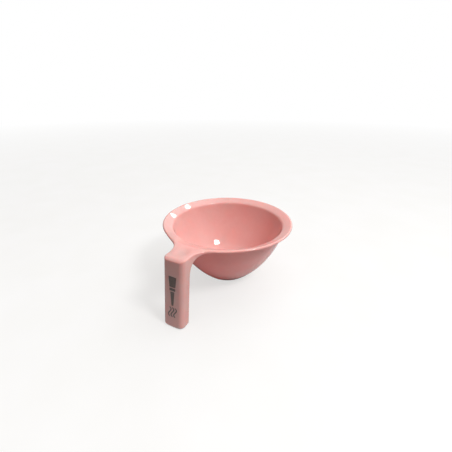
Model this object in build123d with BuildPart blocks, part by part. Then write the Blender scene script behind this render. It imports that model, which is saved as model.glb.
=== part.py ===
from build123d import *
import os
from math import cos, hypot, radians, sin, sqrt, tan

os.makedirs("parts", exist_ok=True)

# A hair color bowl that stands on its base and on the lower end of its handle.
# Millimetres. The origin is the middle of the base, on the table. +Z is up, the handle is at -Y.

# Bowl and rim
rim_radius = 66.0
rim_height = 61.5  # table to the upper edge of the rim
rim_thickness = 2.4
mouth_radius = 56.2  # where the sloping rim turns down into the bowl
mouth_drop = 4.1  # how far the mouth lies below the rim's edge
wall = 2.6
wall_radius = 103.0  # of the arc that the bowl's wall follows, seen from the side
base_radius = 24.0
base_thickness = 3.8

# Neck and handle
handle_width = 20.0
handle_depth = 9.9
handle_reach = 92.6  # from the bowl's axis to the top of the handle's outer face
handle_lean = 7.2  # degrees, outwards towards the table
plate_rise = 1.5  # thumb plate above the rim's edge
flank_angle = 36.0  # degrees, between the X axis and the straight flanks from rim to handle
neck_curve = 20.0  # plan radius of the two hollows where the flanks turn into the handle's sides
arch_radius = 17.0  # under the neck, from the rim down to the handle
arch_level = 60.3  # highest point of the arch, just under the thumb plate
arm_run = 6.0  # over which the handle's body keeps the plate's top height inside the plate
dimple_reach = 79.2  # from the bowl's axis to the middle of the thumb dimple
dimple_radius = 6.0
dimple_depth = 0.7
brow_radius = 6.0  # of the plate's front, where it bends down towards the handle's outer face
brow_length = 3.9
brow_angle = 60.0  # through which it bends
end_crown = 50.0  # radius of the handle's lower end, seen from the front

# Hollow handle and its inner cover
shell = 2.5
channel_start = 77.0  # radius where the hollow begins
cover_thickness = 1.5
boss_diameter = 6.0
pin_diameter = 3.0
pin_length = 3.0
pin_depths = (24.0, 50.0)  # below the thumb plate, along the handle's outer face

# Soft ring, groove and recess under the base
ring_proud = 0.8  # the ring lifts the base off the table
ring_outer_radius = 21.5
ring_inner_radius = 17.0
groove_depth = 1.6
recess_radius = 15.5
recess_depth = 1.0
gate_radius = 1.8
gate_height = 0.5

# Printed mark: a tint brush over three strands of hair
ink = 0.12
mark_top = 15.0  # below the thumb plate, along the handle's outer face
mark_gap = 0.9
bristle_width = 7.6
bristle_length = 9.5
ferrule_width = 5.6
ferrule_length = 2.4
stem_width = 4.0
stem_tip_width = 1.8
stem_length = 13.0
strand_width = 0.95
strand_pitch = 2.7
strand_length = 9.0
strand_swing = 1.3

# Rounded edges and clearances
mouth_round = 3.0
under_rim_round = 3.0
floor_round = 30.0
plate_round = 8.0
dimple_round = 12.0
top_edge_round = 1.2
low_edge_round = 0.8
grip_corner_round = 4.2
handle_end_round = 1.6
channel_round = 1.6
cover_edge_round = 0.4
ring_round = 0.7
mark_round = 0.6
fit_gap = 0.1
overlap = 1.0  # how far joined bodies run into each other

# Worked out from the above
slope = mouth_drop / (rim_radius - mouth_radius)
plate_height = rim_height + plate_rise
plate_start = rim_radius + plate_rise / slope  # radius where the rim's slope reaches the plate
underside = rim_height - rim_thickness
mouth_height = rim_height - mouth_drop
base_height = ring_proud
floor_height = base_height + base_thickness
side = handle_width / 2
lean_sin, lean_cos = sin(radians(handle_lean)), cos(radians(handle_lean))
lean_slope = tan(radians(handle_lean))
far_reach = handle_reach + plate_height * lean_slope + overlap
plate_end = handle_reach - grip_corner_round - overlap


def wall_centre():
    """Radius and height of the centre of the outer wall's arc."""
    top_radius = mouth_radius + wall
    chord_r, chord_z = top_radius - base_radius, mouth_height - base_height
    chord = hypot(chord_r, chord_z)
    sag = sqrt(wall_radius**2 - (chord / 2) ** 2)
    mid_r, mid_z = (top_radius + base_radius) / 2, (mouth_height + base_height) / 2
    return mid_r - sag * chord_z / chord, mid_z + sag * chord_r / chord


centre_r, centre_z = wall_centre()


def wall_point(height, inset=0.0):
    """Point of the wall's arc at that height, or of the parallel arc inside it."""
    return centre_r + sqrt((wall_radius - inset) ** 2 - (height - centre_z) ** 2), height


def face_reach(height, inset=0.0):
    """Distance from the bowl's axis to the handle's leaning outer face, or to a plane inside it."""
    return handle_reach + (plate_height - height) * lean_slope - inset / lean_cos


def inner_edge(inset, end_height):
    """Corners of the arched edge under neck and handle, moved into the plastic by inset."""
    level = arch_level + inset
    depth = handle_depth - inset
    return [
        (-rim_radius - overlap, level),
        (-face_reach(level, depth), level),
        (-face_reach(end_height, depth), end_height),
    ]


def middle(edge):
    return edge.position_at(0.5)


# Plane of the handle's outer face: origin at its top, local Y up along the face
grip_plane = Plane((0, -handle_reach, plate_height), x_dir=(1, 0, 0), z_dir=(0, -lean_cos, lean_sin))
pin_places = [(0, -depth) for depth in pin_depths]

# Plan of rim, thumb plate and handle: the round rim, two straight flanks and the hollows at the neck
flank_slope = tan(radians(flank_angle))
tangent_x = rim_radius * sin(radians(flank_angle))
tangent_y = -rim_radius * cos(radians(flank_angle))
flank_end = tangent_y - (tangent_x - side) * flank_slope

with BuildSketch() as outline:
    with BuildLine():
        ThreePointArc((-tangent_x, tangent_y), (0, rim_radius), (tangent_x, tangent_y))
        flank_corners = ((tangent_x, tangent_y), (side, flank_end), (side, -far_reach))
        flank = FilletPolyline(*flank_corners, radius=neck_curve)
        Line((side, -far_reach), (-side, -far_reach))
        mirror(flank, about=Plane.YZ)
    make_face()
border = outline.sketch.face().outer_wire()


def on_border(edge):
    """True for a level edge that follows the plan outline, not for an upright one."""
    point = middle(edge)
    upright = abs((edge @ 1).Z - (edge @ 0).Z) > rim_thickness / 2 and edge.length < 2 * rim_thickness
    return border.distance_to(Vector(point.X, point.Y, 0)) < 0.02 and not upright


def plate_top(point):
    """Height of the rim's slope and the thumb plate above that point."""
    return min(plate_height, rim_height + (hypot(point.X, point.Y) - rim_radius) * slope)


# Handle and neck, solid, with the arched edge towards the bowl
top_start = -plate_start - arm_run
with BuildPart() as arm:
    with BuildSketch(Plane.YZ):
        with BuildLine():
            edge = inner_edge(0, 0)
            FilletPolyline(*edge, radius=arch_radius)
            brow_start = (brow_length - handle_reach, plate_height)
            bend_sin, bend_cos = sin(radians(brow_angle)), cos(radians(brow_angle))
            brow_end = (brow_start[0] - brow_radius * bend_sin, plate_height - brow_radius * (1 - bend_cos))
            TangentArc(brow_start, brow_end, tangent=(-1, 0))
            Polyline(edge[2], (-far_reach, 0), (-far_reach, brow_end[1]), brow_end)
            Polyline(
                brow_start,
                (top_start, plate_height),
                (top_start, arch_level + rim_thickness / 2),
                (-rim_radius - overlap, arch_level + rim_thickness / 2),
                edge[0],
            )
        make_face()
    extrude(amount=tangent_x, both=True)
    extrude(outline.sketch, amount=plate_height, mode=Mode.INTERSECT)
    with BuildSketch(Plane.XZ):
        with Locations((0, end_crown)):
            Circle(end_crown)
    extrude(amount=far_reach, mode=Mode.INTERSECT)
    split(bisect_by=grip_plane, keep=Keep.BOTTOM)
    outer_face = arm.faces().sort_by(Axis.Y)[0]
    fillet(outer_face.edges().filter_by(lambda e: abs(middle(e).X) > side / 2), grip_corner_round)
    end_face = arm.faces().sort_by(Axis.Z)[0]
    inner_y = -face_reach(0, handle_depth - overlap)
    fillet(end_face.edges().filter_by(lambda e: middle(e).Y < inner_y), handle_end_round)
    top_edges = arm.edges().filter_by(lambda e: middle(e).Z > brow_end[1] and middle(e).Y < top_start)
    top_edges = top_edges.filter_by(lambda e: abs(middle(e).X) > side / 2 or middle(e).Y < -handle_reach)
    fillet(top_edges, top_edge_round)
    arch_faces = arm.faces().filter_by(lambda f: f.normal_at().Y > 0.1 and f.center().Z < arch_level)
    arch_edges = arch_faces.edges().filter_by(lambda e: abs(middle(e).X) > side / 2 or middle(e).Z < 0.01)
    fillet(arch_edges, low_edge_round)

# The hollow inside the handle, open towards the bowl
with BuildPart() as channel:
    with BuildSketch(Plane.YZ):
        roof = plate_height - shell
        with BuildLine():
            Polyline(
                (-channel_start, shell),
                (-face_reach(shell, shell), shell),
                (-face_reach(roof, shell), roof),
                (-channel_start, roof),
                close=True,
            )
        make_face()
    extrude(amount=side - shell, both=True)
    fillet(channel.faces().sort_by(Axis.Y)[0].edges(), channel_round)

# Bowl, rim, thumb plate and the outer shell of the handle are one moulding
with BuildPart() as bowl:
    with BuildSketch(Plane.XZ):
        with BuildLine():
            outer_low = wall_point(base_height)
            outer_mid = wall_point((mouth_height + base_height) / 2)
            outer_top = (mouth_radius + wall, underside - (rim_radius - mouth_radius - wall) * slope)
            inner_top = (mouth_radius, mouth_height)
            inner_mid = wall_point((mouth_height + floor_height) / 2, wall)
            inner_low = wall_point(floor_height, wall)
            Polyline(
                inner_low,
                (0, floor_height),
                (0, base_height + recess_depth),
                (recess_radius, base_height + recess_depth),
                (recess_radius, base_height),
                (ring_inner_radius - fit_gap, base_height),
                (ring_inner_radius - fit_gap, base_height + groove_depth),
                (ring_outer_radius + fit_gap, base_height + groove_depth),
                (ring_outer_radius + fit_gap, base_height),
                outer_low,
            )
            ThreePointArc(outer_low, outer_mid, outer_top)
            Polyline(
                outer_top,
                (plate_start, plate_height - rim_thickness),
                (far_reach, plate_height - rim_thickness),
                (far_reach, plate_height),
                (plate_start, plate_height),
                inner_top,
            )
            ThreePointArc(inner_top, inner_mid, inner_low)
        make_face()
        corner_rounds = (
            (inner_top, mouth_round),
            (outer_top, under_rim_round),
            (inner_low, floor_round),
            ((plate_start, plate_height), plate_round),
            ((plate_start, plate_height - rim_thickness), plate_round + rim_thickness),
        )
        for (reach, height), size in corner_rounds:
            fillet(vertices().sort_by_distance((reach, height, 0))[0], size)
    revolve(axis=Axis.Z)
    extrude(outline.sketch, amount=plate_height, mode=Mode.INTERSECT)
    upper_edges = bowl.edges().filter_by(on_border)
    upper_edges = upper_edges.filter_by(lambda e: middle(e).Z > plate_top(middle(e)) - rim_thickness / 2)
    fillet(upper_edges, top_edge_round)
    lower_edges = bowl.edges().filter_by(on_border)
    lower_edges = lower_edges.filter_by(lambda e: middle(e).Z < plate_top(middle(e)) - rim_thickness + 0.1)
    fillet(lower_edges, low_edge_round)
    split(bisect_by=Plane.XZ.offset(plate_end), keep=Keep.BOTTOM)
    add(arm)
    add(channel, mode=Mode.SUBTRACT)

    # Bosses behind the handle's outer wall, with bores for the cover's pins
    boss_end = handle_depth - cover_thickness - fit_gap
    with BuildSketch(grip_plane.offset(-shell + overlap)):
        with Locations(*pin_places):
            Circle(boss_diameter / 2)
    extrude(amount=-(boss_end - shell + overlap))
    with BuildSketch(grip_plane.offset(-boss_end)):
        with Locations(*pin_places):
            Circle(pin_diameter / 2 + fit_gap / 2)
    extrude(amount=pin_length + fit_gap, mode=Mode.SUBTRACT)

    # Thumb dimple: a shallow round dish with a soft edge
    dish_radius = (dimple_radius**2 + dimple_depth**2) / (2 * dimple_depth)
    with Locations((0, -dimple_reach, plate_height + dish_radius - dimple_depth)):
        Sphere(dish_radius, mode=Mode.SUBTRACT)
    dish = bowl.faces().filter_by(GeomType.SPHERE)[0]
    fillet(dish.edges(), dimple_round)

    # Trace of the moulding gate, in the recess under the base
    with BuildSketch(Plane.XY.offset(base_height + recess_depth - gate_height)):
        Circle(gate_radius)
    extrude(amount=gate_height + overlap)

# Inner cover: closes the hollow of neck and handle on the side of the fingers
with BuildPart() as handle_cover:
    with BuildSketch(Plane.YZ):
        cover_end = shell + fit_gap
        with BuildLine():
            near_edge = inner_edge(0, cover_end)
            far_edge = inner_edge(cover_thickness, cover_end)
            FilletPolyline(*near_edge, radius=arch_radius)
            FilletPolyline(*far_edge, radius=arch_radius + cover_thickness)
            Line(near_edge[0], far_edge[0])
            Line(near_edge[2], far_edge[2])
        make_face()
    extrude(amount=side - shell - fit_gap, both=True)
    split(bisect_by=Plane.XZ.offset(channel_start + fit_gap), keep=Keep.TOP)
    hand_faces = handle_cover.faces().filter_by(lambda f: f.normal_at().Y > 0.1 and f.center().Y < -channel_start)
    hand_edges = hand_faces.edges().filter_by(lambda e: abs(middle(e).X) > side / 2)
    fillet(hand_edges, cover_edge_round)
    with BuildSketch(grip_plane.offset(-handle_depth + cover_thickness - overlap / 2)):
        with Locations(*pin_places):
            Circle(pin_diameter / 2)
    extrude(amount=pin_length + overlap / 2)

# Soft non-slip ring in the groove under the base
with BuildPart() as base_ring:
    with BuildSketch(Plane.XZ):
        ring_height = ring_proud + groove_depth
        with Locations(((ring_inner_radius + ring_outer_radius) / 2, ring_height / 2)):
            Rectangle(ring_outer_radius - ring_inner_radius, ring_height)
        fillet(vertices().group_by(Axis.Y)[0], ring_round)
    revolve(axis=Axis.Z)

# Printed mark on the handle's outer face
with BuildPart() as handle_print:
    with BuildSketch(grip_plane):
        bristle_end = -mark_top - bristle_length
        ferrule_top = bristle_end - mark_gap
        ferrule_end = ferrule_top - ferrule_length
        stem_top = ferrule_end - mark_gap
        stem_end = stem_top - stem_length
        strand_top = stem_end - 2 * mark_gap
        bands = (
            (bristle_width, -mark_top, ferrule_width, bristle_end),
            (ferrule_width, ferrule_top, ferrule_width, ferrule_end),
            (stem_width, stem_top, stem_tip_width, stem_end),
        )
        for top_width, top, end_width, end in bands:
            with BuildLine():
                Polyline(
                    (-top_width / 2, top),
                    (top_width / 2, top),
                    (end_width / 2, end),
                    (-end_width / 2, end),
                    close=True,
                )
            make_face()
        fillet(vertices(), mark_round)
        for strand in (-1, 0, 1):
            with BuildLine() as wave:
                middle_x = strand * strand_pitch
                Spline(
                    (middle_x, strand_top),
                    (middle_x + strand_swing, strand_top - strand_length / 4),
                    (middle_x - strand_swing, strand_top - strand_length * 3 / 4),
                    (middle_x, strand_top - strand_length),
                )
            trace(wave.line, strand_width)
    extrude(amount=ink)

pieces = {
    "bowl": bowl,
    "handle_cover": handle_cover,
    "base_ring": base_ring,
    "handle_print": handle_print,
}
for name, piece in pieces.items():
    piece.part.label = name
    export_step(piece.part, f"parts/{name}.step")
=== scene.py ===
from math import radians

import bpy
from mathutils import Matrix, Vector


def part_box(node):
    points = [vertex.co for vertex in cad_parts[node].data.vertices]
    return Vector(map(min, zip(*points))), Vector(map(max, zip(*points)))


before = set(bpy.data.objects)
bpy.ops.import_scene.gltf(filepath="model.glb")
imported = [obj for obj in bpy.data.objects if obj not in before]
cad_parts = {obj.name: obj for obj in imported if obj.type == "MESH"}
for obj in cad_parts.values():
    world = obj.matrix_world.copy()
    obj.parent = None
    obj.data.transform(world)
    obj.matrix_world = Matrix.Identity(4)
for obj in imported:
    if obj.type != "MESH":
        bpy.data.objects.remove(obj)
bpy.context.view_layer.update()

MM = 0.001
WHITE = (1, 1, 1, 1)
scene = bpy.context.scene
rim_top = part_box("bowl")[1].z

# Camera: its place as seen from the point it looks at, near the middle of the rim
VIEW_TARGET_MM = (-1.4, -0.7, 52.7)
VIEW_AZIMUTH = 152.53
VIEW_ELEVATION = 25.46
VIEW_DISTANCE = 293.5 * MM
VIEW_ROLL = 0.24
LENS = 22.24
SENSOR_WIDTH = 36.0
CLIP_START = 0.01

# Window lights behind the bowl on the left: azimuth, elevation, width, height
WINDOWS = (
    (-18, 34, 0.036, 0.042),
    (-11.4, 48.4, 0.055, 0.045),
)
WINDOW_DISTANCE = 0.92
WINDOW_POWER = 70  # watts per square metre

# Soft panels of the room: azimuth, elevation, tightness, strength
PANELS = (
    (0, 90, 4, 0.51),  # ceiling
    (0, 50, 6, 1.37),  # high, behind the bowl
    (60, 50, 6, 1.50),  # high, behind on the right
    (180, 50, 6, 0.13),  # high, from the handle's side
    (240, 50, 6, 0.22),  # high, from the front left
    (0, 12, 8, 0.95),  # low, behind the bowl
    (225, 12, 8, 0.27),  # low, front left
    (270, 12, 8, 0.13),  # low, left
    (0, -90, 2, 0.6),  # from below, where the floor is hidden
)

# Floor: how its light falls off with the distance from the bowl's middle
FLOOR_SIZE = 40.0
FADE_START, FADE_END = 0.3, 2.0  # over which the paper fades to the white of the room
GLOW_NEAR = 0.72  # share of the paper's colour that doesn't depend on the lights
BOUNCE_START, BOUNCE_END = 0.11, 0.25
BOUNCE_NEAR, BOUNCE_FAR = 0.52, 0.15  # grey that lights the bowl from below


# ---------------------------------------------------------------- node trees
class Tree:
    """Adds nodes to the node tree of a material or world.

    An input is a value, a socket, or a node whose first output is linked.
    """

    def __init__(self, owner):
        owner.use_nodes = True
        self.nodes = owner.node_tree.nodes
        self.links = owner.node_tree.links
        self.nodes.clear()

    def add(self, kind, inputs=(), **settings):
        node = self.nodes.new(kind)
        for name, value in settings.items():
            setattr(node, name, value)
        for name, value in dict(inputs).items():
            socket = node.inputs[name]
            if isinstance(value, bpy.types.Node):
                value = value.outputs[0]
            if isinstance(value, bpy.types.NodeSocket):
                self.links.new(value, socket)
            else:
                socket.default_value = value
        return node

    def math(self, operation, first, second=0.0, third=0.0):
        inputs = {0: first, 1: second, 2: third}
        return self.add("ShaderNodeMath", inputs, operation=operation)

    def noise(self, place, size, detail=2.0, roughness=0.5, distortion=0.0):
        """Noise from 0 to 1 whose features are about size metres across."""
        inputs = {"Vector": place, "Scale": 1 / size, "Detail": detail,
                  "Roughness": roughness, "Distortion": distortion}
        return self.add("ShaderNodeTexNoise", inputs)

    def ramp(self, value, low, high, start=0.0, end=1.0):
        """Maps value from low..high to start..end, clamped."""
        inputs = {"Value": value, "From Min": low, "From Max": high, "To Min": start, "To Max": end}
        return self.add("ShaderNodeMapRange", inputs)

    def mix(self, share, first, second):
        """Colour that is the first where share is 0 and the second where it is 1."""
        node = self.add("ShaderNodeMix", data_type="RGBA")
        for index, value in ((0, share), (6, first), (7, second)):
            socket = node.inputs[index]
            if isinstance(value, bpy.types.Node):
                value = value.outputs[0]
            if isinstance(value, bpy.types.NodeSocket):
                self.links.new(value, socket)
            else:
                socket.default_value = value
        return node.outputs[2]


def colour(hex_code):
    """Linear colour of an sRGB hex code."""
    parts = [int(hex_code[i:i + 2], 16) / 255 for i in (0, 2, 4)]
    return [p / 12.92 if p <= 0.04045 else ((p + 0.055) / 1.055) ** 2.4 for p in parts] + [1.0]


# ---------------------------------------------------------------- materials
def moulded_plastic(name, main, light, deep):
    """Glossy opaque pink moulding with faint flow marks, dust specks and fine handling marks."""
    material = bpy.data.materials.new(name)
    tree = Tree(material)
    place = tree.add("ShaderNodeTexCoord").outputs["Object"]
    flow = tree.ramp(tree.noise(place, 38 * MM, detail=3, distortion=0.6), 0.35, 0.65)
    mottle = tree.ramp(tree.noise(place, 4 * MM, detail=4), 0.3, 0.7)
    base = tree.mix(tree.math("MULTIPLY", flow, 0.35), colour(main), colour(deep))
    base = tree.mix(tree.math("MULTIPLY", mottle, 0.12), base, colour(light))
    specks = tree.ramp(tree.noise(place, 0.7 * MM, detail=1), 0.80, 0.86)
    base = tree.mix(tree.math("MULTIPLY", specks, 0.5), base, colour(light))
    haze = tree.noise(place, 14 * MM, detail=5, roughness=0.6)
    rough = tree.ramp(haze, 0.3, 0.75, 0.03, 0.065)
    peel = tree.noise(place, 1.6 * MM, detail=2)
    waves = tree.noise(place, 16 * MM, detail=1)
    bump = tree.add("ShaderNodeBump", {"Strength": 0.06, "Distance": 0.01 * MM, "Height": peel})
    bump = tree.add("ShaderNodeBump", {
        "Strength": 0.04, "Distance": 0.10 * MM, "Height": waves, "Normal": bump})
    shader = tree.add("ShaderNodeBsdfPrincipled", {
        "Base Color": base, "Roughness": rough, "Normal": bump, "IOR": 1.49,
        "Subsurface Weight": 0.6, "Subsurface Radius": (1.4, 0.35, 0.28), "Subsurface Scale": 6 * MM})
    tree.add("ShaderNodeOutputMaterial", {"Surface": shader})
    return material


def soft_rubber(name, main, light):
    """Matte soft ring with a fine moulded grain."""
    material = bpy.data.materials.new(name)
    tree = Tree(material)
    place = tree.add("ShaderNodeTexCoord").outputs["Object"]
    grain = tree.noise(place, 0.5 * MM, detail=3)
    patch = tree.ramp(tree.noise(place, 6 * MM, detail=3), 0.35, 0.7)
    base = tree.mix(tree.math("MULTIPLY", patch, 0.5), colour(main), colour(light))
    rough = tree.ramp(grain, 0.3, 0.7, 0.55, 0.75)
    bump = tree.add("ShaderNodeBump", {"Strength": 0.5, "Distance": 0.05 * MM, "Height": grain})
    shader = tree.add("ShaderNodeBsdfPrincipled", {"Base Color": base, "Roughness": rough, "Normal": bump})
    tree.add("ShaderNodeOutputMaterial", {"Surface": shader})
    return material


def printed_ink(name, main, worn):
    """Pad-printed ink: thin spots and pinholes let the plastic's colour through."""
    material = bpy.data.materials.new(name)
    tree = Tree(material)
    place = tree.add("ShaderNodeTexCoord").outputs["Object"]
    thin = tree.ramp(tree.noise(place, 2.2 * MM, detail=4), 0.4, 0.75)
    pinholes = tree.ramp(tree.noise(place, 0.35 * MM, detail=1), 0.72, 0.8)
    base = tree.mix(tree.math("MULTIPLY", thin, 0.35), colour(main), colour(worn))
    base = tree.mix(tree.math("MULTIPLY", pinholes, 0.4), base, colour(worn))
    rough = tree.ramp(thin, 0.0, 1.0, 0.3, 0.45)
    bump = tree.add("ShaderNodeBump", {"Strength": 0.3, "Distance": 0.02 * MM, "Height": thin})
    shader = tree.add("ShaderNodeBsdfPrincipled", {"Base Color": base, "Roughness": rough, "Normal": bump})
    tree.add("ShaderNodeOutputMaterial", {"Surface": shader})
    return material


def dress(node, material):
    """Gives a CAD node its finished material."""
    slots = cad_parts[node].data.materials
    slots.clear()
    slots.append(material)


dress("bowl", moulded_plastic("bowl_plastic", main="DEA6A0", light="E7B8B2", deep="D99E97"))
dress("handle_cover", moulded_plastic("cover_plastic", main="D39994", light="DFAFAA", deep="CC8F8A"))
# The ring's dark rose is partly painted shade: a rose rubber ring darkened to the shade along the base's
# lower edge.
dress("base_ring", soft_rubber("soft_ring", main="7A3F3B", light="915450"))
dress("handle_print", printed_ink("print_ink", main="665650", worn="8A6B65"))


# ---------------------------------------------------------------- floor, light, camera
def floor_material():
    """Pale paper. It looks lighter than the light it throws on the bowl, as in a cut-out picture."""
    material = bpy.data.materials.new("floor_paper")
    tree = Tree(material)
    place = tree.add("ShaderNodeTexCoord").outputs["Object"]
    tone = tree.ramp(tree.noise(place, 60 * MM, detail=4), 0.3, 0.7)
    distance = tree.add("ShaderNodeVectorMath", {0: place}, operation="LENGTH").outputs["Value"]
    base = tree.mix(tone, colour("F3F2F0"), colour("F5F4F3"))
    base = tree.mix(tree.ramp(distance, FADE_START, FADE_END), base, WHITE)
    paper = tree.add("ShaderNodeBsdfPrincipled", {"Base Color": base, "Roughness": 0.8})
    glow = tree.add("ShaderNodeEmission", {"Color": base, "Strength": 1.0})
    glow_share = tree.ramp(distance, FADE_START, FADE_END, GLOW_NEAR, 1.0)
    seen = tree.add("ShaderNodeMixShader", {0: glow_share, 1: paper, 2: glow})
    grey = tree.ramp(distance, BOUNCE_START, BOUNCE_END, BOUNCE_NEAR, BOUNCE_FAR)
    bounce = tree.add("ShaderNodeBsdfDiffuse", {"Color": grey})
    path = tree.add("ShaderNodeLightPath")
    blend = tree.add("ShaderNodeMixShader", {0: path.outputs["Is Camera Ray"], 1: bounce, 2: seen})
    tree.add("ShaderNodeOutputMaterial", {"Surface": blend})
    return material


def make_floor():
    mesh = bpy.data.meshes.new("floor")
    half = FLOOR_SIZE / 2
    corners = [(-half, -half, 0), (half, -half, 0), (half, half, 0), (-half, half, 0)]
    mesh.from_pydata(corners, [], [(0, 1, 2, 3)])
    mesh.materials.append(floor_material())
    floor = bpy.data.objects.new("floor", mesh)
    scene.collection.objects.link(floor)


def from_angles(azimuth, elevation, distance, target):
    """Point at that distance from target. Azimuth 0 is behind the bowl (+Y), 90 is on its right (+X)."""
    turn = Matrix.Rotation(radians(-azimuth), 4, "Z") @ Matrix.Rotation(radians(elevation), 4, "X")
    return target + turn @ Vector((0, distance, 0))


def area_light(name, azimuth, elevation, distance, width, height, power, roll=0.0):
    """Rectangular light aimed at the bowl's middle and turned by roll degrees about its own axis."""
    target = Vector((0, 0, rim_top / 2))
    data = bpy.data.lights.new(name, "AREA")
    data.shape = "RECTANGLE"
    data.size, data.size_y = width, height
    data.energy = power
    light = bpy.data.objects.new(name, data)
    light.location = from_angles(azimuth, elevation, distance, target)
    aim = (light.location - target).to_track_quat("Z", "Y").to_matrix()
    light.rotation_euler = (aim @ Matrix.Rotation(radians(roll), 3, "Z")).to_euler()
    scene.collection.objects.link(light)


def make_lights():
    """One large soft light on the right and small windows behind the bowl on the left."""
    area_light("key", azimuth=102.9, elevation=51.3, distance=0.87, width=0.215, height=0.17,
               power=4.6, roll=-25)
    for azimuth, elevation, width, height in WINDOWS:
        power = WINDOW_POWER * width * height
        area_light(f"window_{elevation:.0f}", azimuth, elevation, WINDOW_DISTANCE, width, height, power)


def make_world():
    """A room that looks white to the camera, and lights the bowl by the soft panels."""
    world = bpy.data.worlds.new("studio")
    scene.world = world
    tree = Tree(world)
    view = tree.add("ShaderNodeTexCoord").outputs["Generated"]
    total = 0.0
    for azimuth, elevation, tightness, strength in PANELS:
        towards = from_angles(azimuth, elevation, 1, Vector())
        facing = tree.add("ShaderNodeVectorMath", {0: view, 1: towards}, operation="DOT_PRODUCT")
        lobe = tree.math("POWER", tree.math("MAXIMUM", facing.outputs["Value"]), tightness)
        total = tree.math("MULTIPLY_ADD", lobe, strength, total)
    seen = tree.add("ShaderNodeBackground", {"Color": WHITE, "Strength": 1.0})
    room = tree.add("ShaderNodeBackground", {"Color": WHITE, "Strength": total})
    path = tree.add("ShaderNodeLightPath")
    blend = tree.add("ShaderNodeMixShader", {0: path.outputs["Is Camera Ray"], 1: room, 2: seen})
    tree.add("ShaderNodeOutputWorld", {"Surface": blend})


def make_camera():
    """The view from the front right and above, through a wide lens held close."""
    data = bpy.data.cameras.new("camera")
    data.sensor_width = SENSOR_WIDTH
    data.lens = LENS
    data.clip_start = CLIP_START
    camera = bpy.data.objects.new("camera", data)
    target = Vector(VIEW_TARGET_MM) * MM
    place = from_angles(VIEW_AZIMUTH, VIEW_ELEVATION, VIEW_DISTANCE, target)
    back = (place - target).normalized()
    right = Vector((0, 0, 1)).cross(back).normalized()
    axes = Matrix((right, back.cross(right), back)).transposed().to_4x4()
    camera.matrix_world = Matrix.Translation(place) @ axes @ Matrix.Rotation(radians(VIEW_ROLL), 4, "Z")
    scene.collection.objects.link(camera)
    scene.camera = camera


make_floor()
make_lights()
make_world()
make_camera()
scene.view_settings.view_transform = "Standard"
